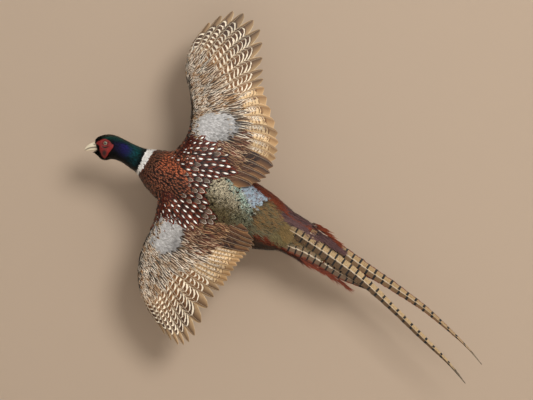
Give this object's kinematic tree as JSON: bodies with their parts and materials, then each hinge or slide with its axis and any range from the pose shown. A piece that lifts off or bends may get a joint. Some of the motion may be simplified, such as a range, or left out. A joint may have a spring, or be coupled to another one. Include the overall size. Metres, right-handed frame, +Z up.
{
  "type": "taxidermy pheasant",
  "caption": "Wall-hung taxidermy cock pheasant in flight, seen from its back: spread barred wings, white neck ring, red face and long barred tail.",
  "frame": {"origin": "centre of the wall plate's back face, on the wall's surface", "axes": "+Y into the wall, +Z up, +X to the viewer's right; the bird's head points to -X and up, its back faces -Y"},
  "size_m": [0.7566, 0.1556, 0.7077],
  "materials": {
    "body_feathers": "soft overlapping feathers",
    "neck_feathers": "glossy dark green and blue feathers",
    "bare_skin": "matt, finely warted",
    "bill_horn": "smooth satin horn",
    "eye_glass": "glossy glass eye",
    "flight_feathers": "barred matt vanes",
    "tail_feathers": "barred matt vanes",
    "leg_scales": "dry scales",
    "plate_wood": "dark satin varnish",
    "rod_steel": "blackened"
  },
  "bodies": {
    "root": {"head": "neck_feathers", "neck": "neck_feathers", "breast": "body_feathers", "trunk": "body_feathers", "rump": "body_feathers", "tail_coverts": "body_feathers", "bill_upper": "bill_horn", "bill_lower": "bill_horn", "eye_left": "eye_glass", "eye_right": "eye_glass", "wattle_left": "bare_skin", "wattle_right": "bare_skin", "wing_left_upper_arm": "body_feathers", "wing_left_forearm": "body_feathers", "wing_left_hand": "body_feathers", "wing_left_primaries": "flight_feathers", "wing_left_secondaries": "flight_feathers", "wing_left_tertials": "flight_feathers", "wing_right_upper_arm": "body_feathers", "wing_right_forearm": "body_feathers", "wing_right_hand": "body_feathers", "wing_right_primaries": "flight_feathers", "wing_right_secondaries": "flight_feathers", "wing_right_tertials": "flight_feathers", "tail_long_left": "tail_feathers", "tail_long_right": "tail_feathers", "tail_fan_left": "tail_feathers", "tail_fan_right": "tail_feathers", "thigh_left": "body_feathers", "thigh_right": "body_feathers", "shank_left": "leg_scales", "shank_right": "leg_scales", "foot_left": "leg_scales", "foot_right": "leg_scales", "stand_plate": "plate_wood", "stand_rod": "rod_steel"}
  },
  "joints": []
}
